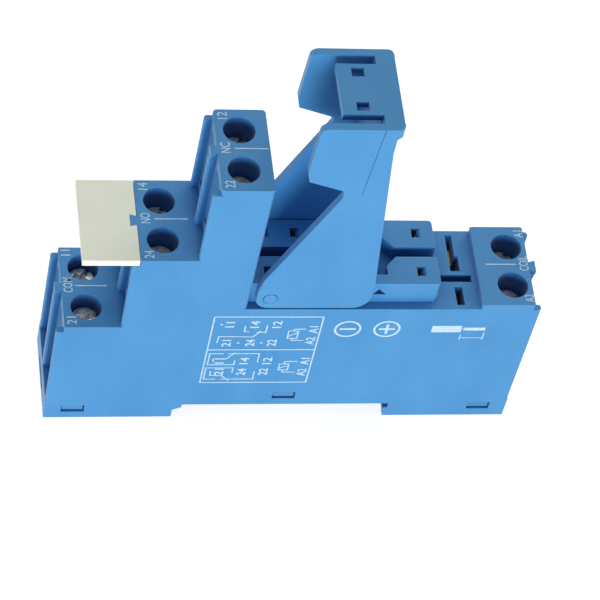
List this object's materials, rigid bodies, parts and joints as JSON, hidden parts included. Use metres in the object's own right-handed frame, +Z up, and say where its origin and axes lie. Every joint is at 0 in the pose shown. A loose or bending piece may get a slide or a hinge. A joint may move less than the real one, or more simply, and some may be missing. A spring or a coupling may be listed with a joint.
{
  "type": "relay socket",
  "caption": "Stepped screw-terminal socket for a slim plug-in relay, with box clamps, pivoting retaining clip, label tag and sprung rail latch.",
  "frame": {"origin": "centre of the overall size in X and Y, on the plane of the feet (Z 0)", "axes": "+X along the socket towards the coil terminals, +Y towards the back side, +Z up, away from the rail"},
  "size_m": [0.0786, 0.0158, 0.0771],
  "materials": {
    "moulding": "fine matt",
    "tag_plastic": "smooth matt",
    "plated_steel": "zinc plated",
    "spring_steel": "bright",
    "contact_brass": "bright"
  },
  "bodies": {
    "socket": {"housing": "moulding", "base_cover": "moulding", "identification_tag": "tag_plastic", "latch_spring": "spring_steel", "contact_11": "contact_brass", "contact_21": "contact_brass", "contact_14": "contact_brass", "contact_24": "contact_brass", "contact_12": "contact_brass", "contact_22": "contact_brass", "contact_a1": "contact_brass", "contact_a2": "contact_brass"},
    "clip": {"retaining_clip": "moulding"},
    "latch": {"rail_latch": "moulding"},
    "screw_11": {"screw_11": "plated_steel"},
    "clamp_11": {"clamp_11": "plated_steel"},
    "screw_21": {"screw_21": "plated_steel"},
    "clamp_21": {"clamp_21": "plated_steel"},
    "screw_14": {"screw_14": "plated_steel"},
    "clamp_14": {"clamp_14": "plated_steel"},
    "screw_24": {"screw_24": "plated_steel"},
    "clamp_24": {"clamp_24": "plated_steel"},
    "screw_12": {"screw_12": "plated_steel"},
    "clamp_12": {"clamp_12": "plated_steel"},
    "screw_22": {"screw_22": "plated_steel"},
    "clamp_22": {"clamp_22": "plated_steel"},
    "screw_a1": {"screw_a1": "plated_steel"},
    "clamp_a1": {"clamp_a1": "plated_steel"},
    "screw_a2": {"screw_a2": "plated_steel"},
    "clamp_a2": {"clamp_a2": "plated_steel"}
  },
  "joints": [
    {"name": "clip_hinge", "type": "hinge", "parent": "socket", "child": "clip", "pos_m": [-0.00595, 0, 0.03375], "axis": [0, 1, 0], "range_deg": [-16, 0]},
    {"name": "latch_slide", "type": "slide", "parent": "socket", "child": "latch", "axis": [-1, 0, 0], "range_m": [0, 0.002], "stiffness_N_per_m": 600, "springref_m": -0.003, "deforming": ["latch_spring"]},
    {"name": "clamp_11_travel", "type": "slide", "parent": "socket", "child": "clamp_11", "axis": [0, 0, 1], "range_m": [0, 0.0025]},
    {"name": "screw_11_turn", "type": "hinge", "parent": "socket", "child": "screw_11", "pos_m": [-0.03435, 0.00385, 0.0231], "axis": [0, 0, 1], "range_deg": [-1802, 0]},
    {"name": "clamp_21_travel", "type": "slide", "parent": "socket", "child": "clamp_21", "axis": [0, 0, 1], "range_m": [0, 0.0025]},
    {"name": "screw_21_turn", "type": "hinge", "parent": "socket", "child": "screw_21", "pos_m": [-0.03435, -0.00385, 0.0231], "axis": [0, 0, 1], "range_deg": [-1802, 0]},
    {"name": "clamp_14_travel", "type": "slide", "parent": "socket", "child": "clamp_14", "axis": [0, 0, 1], "range_m": [0, 0.0025]},
    {"name": "screw_14_turn", "type": "hinge", "parent": "socket", "child": "screw_14", "pos_m": [-0.0241, 0.00385, 0.0398], "axis": [0, 0, 1], "range_deg": [-1802, 0]},
    {"name": "clamp_24_travel", "type": "slide", "parent": "socket", "child": "clamp_24", "axis": [0, 0, 1], "range_m": [0, 0.0025]},
    {"name": "screw_24_turn", "type": "hinge", "parent": "socket", "child": "screw_24", "pos_m": [-0.0241, -0.00385, 0.0398], "axis": [0, 0, 1], "range_deg": [-1802, 0]},
    {"name": "clamp_12_travel", "type": "slide", "parent": "socket", "child": "clamp_12", "axis": [0, 0, 1], "range_m": [0, 0.0025]},
    {"name": "screw_12_turn", "type": "hinge", "parent": "socket", "child": "screw_12", "pos_m": [-0.01385, 0.00385, 0.0578], "axis": [0, 0, 1], "range_deg": [-1802, 0]},
    {"name": "clamp_22_travel", "type": "slide", "parent": "socket", "child": "clamp_22", "axis": [0, 0, 1], "range_m": [0, 0.0025]},
    {"name": "screw_22_turn", "type": "hinge", "parent": "socket", "child": "screw_22", "pos_m": [-0.01385, -0.00385, 0.0578], "axis": [0, 0, 1], "range_deg": [-1802, 0]},
    {"name": "clamp_a1_travel", "type": "slide", "parent": "socket", "child": "clamp_a1", "axis": [0, 0, 1], "range_m": [0, 0.0025]},
    {"name": "screw_a1_turn", "type": "hinge", "parent": "socket", "child": "screw_a1", "pos_m": [0.0348, 0.00385, 0.028], "axis": [0, 0, 1], "range_deg": [-1802, 0]},
    {"name": "clamp_a2_travel", "type": "slide", "parent": "socket", "child": "clamp_a2", "axis": [0, 0, 1], "range_m": [0, 0.0025]},
    {"name": "screw_a2_turn", "type": "hinge", "parent": "socket", "child": "screw_a2", "pos_m": [0.0348, -0.00385, 0.028], "axis": [0, 0, 1], "range_deg": [-1802, 0]}
  ],
  "couplings": [
    {"joint": "screw_11_turn", "follows": "clamp_11_travel", "rad_per_m": -12566},
    {"joint": "screw_21_turn", "follows": "clamp_21_travel", "rad_per_m": -12566},
    {"joint": "screw_14_turn", "follows": "clamp_14_travel", "rad_per_m": -12566},
    {"joint": "screw_24_turn", "follows": "clamp_24_travel", "rad_per_m": -12566},
    {"joint": "screw_12_turn", "follows": "clamp_12_travel", "rad_per_m": -12566},
    {"joint": "screw_22_turn", "follows": "clamp_22_travel", "rad_per_m": -12566},
    {"joint": "screw_a1_turn", "follows": "clamp_a1_travel", "rad_per_m": -12566},
    {"joint": "screw_a2_turn", "follows": "clamp_a2_travel", "rad_per_m": -12566}
  ]
}
